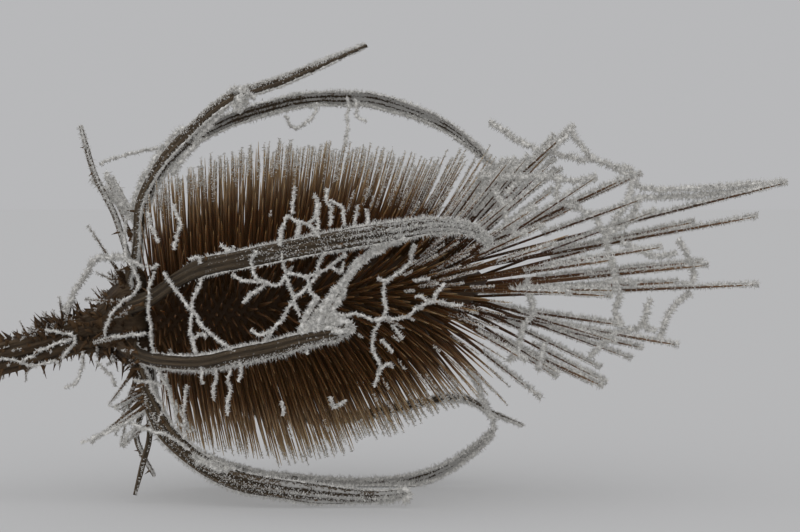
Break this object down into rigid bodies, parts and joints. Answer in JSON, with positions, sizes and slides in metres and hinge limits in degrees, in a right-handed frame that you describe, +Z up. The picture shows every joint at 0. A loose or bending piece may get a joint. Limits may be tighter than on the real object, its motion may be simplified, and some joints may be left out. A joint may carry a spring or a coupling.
{
  "type": "teasel seed head",
  "caption": "Dried teasel seed head with stiff spines, a long apical tuft and arched prickly bracts, lying on a length of cut stem.",
  "frame": {"origin": "on the resting surface, under the middle of the part's box", "axes": "+X from the cut stem to the tip of the tuft, +Z up from the surface, -Y the side that the picture shows"},
  "size_m": [0.1544, 0.05, 0.0592],
  "materials": {
    "stem": "dry, matt, ribbed",
    "spines": "dry, matt",
    "bracts": "dry, matt, fibrous",
    "frost": "crystalline hoarfrost"
  },
  "bodies": {
    "root": {"stem": "stem", "seed_head": "spines", "bract_top_front": "bracts", "bract_top_back": "bracts", "bract_front_upper": "bracts", "bract_front_lower": "bracts", "bract_bottom_front": "bracts", "bract_bottom_back": "bracts", "bract_back_lower": "bracts", "bract_back_upper": "bracts", "short_bract_top": "bracts", "short_bract_top_back": "bracts", "short_bract_bottom": "bracts", "short_bract_bottom_back": "bracts", "short_bract_back": "bracts"}
  },
  "joints": []
}
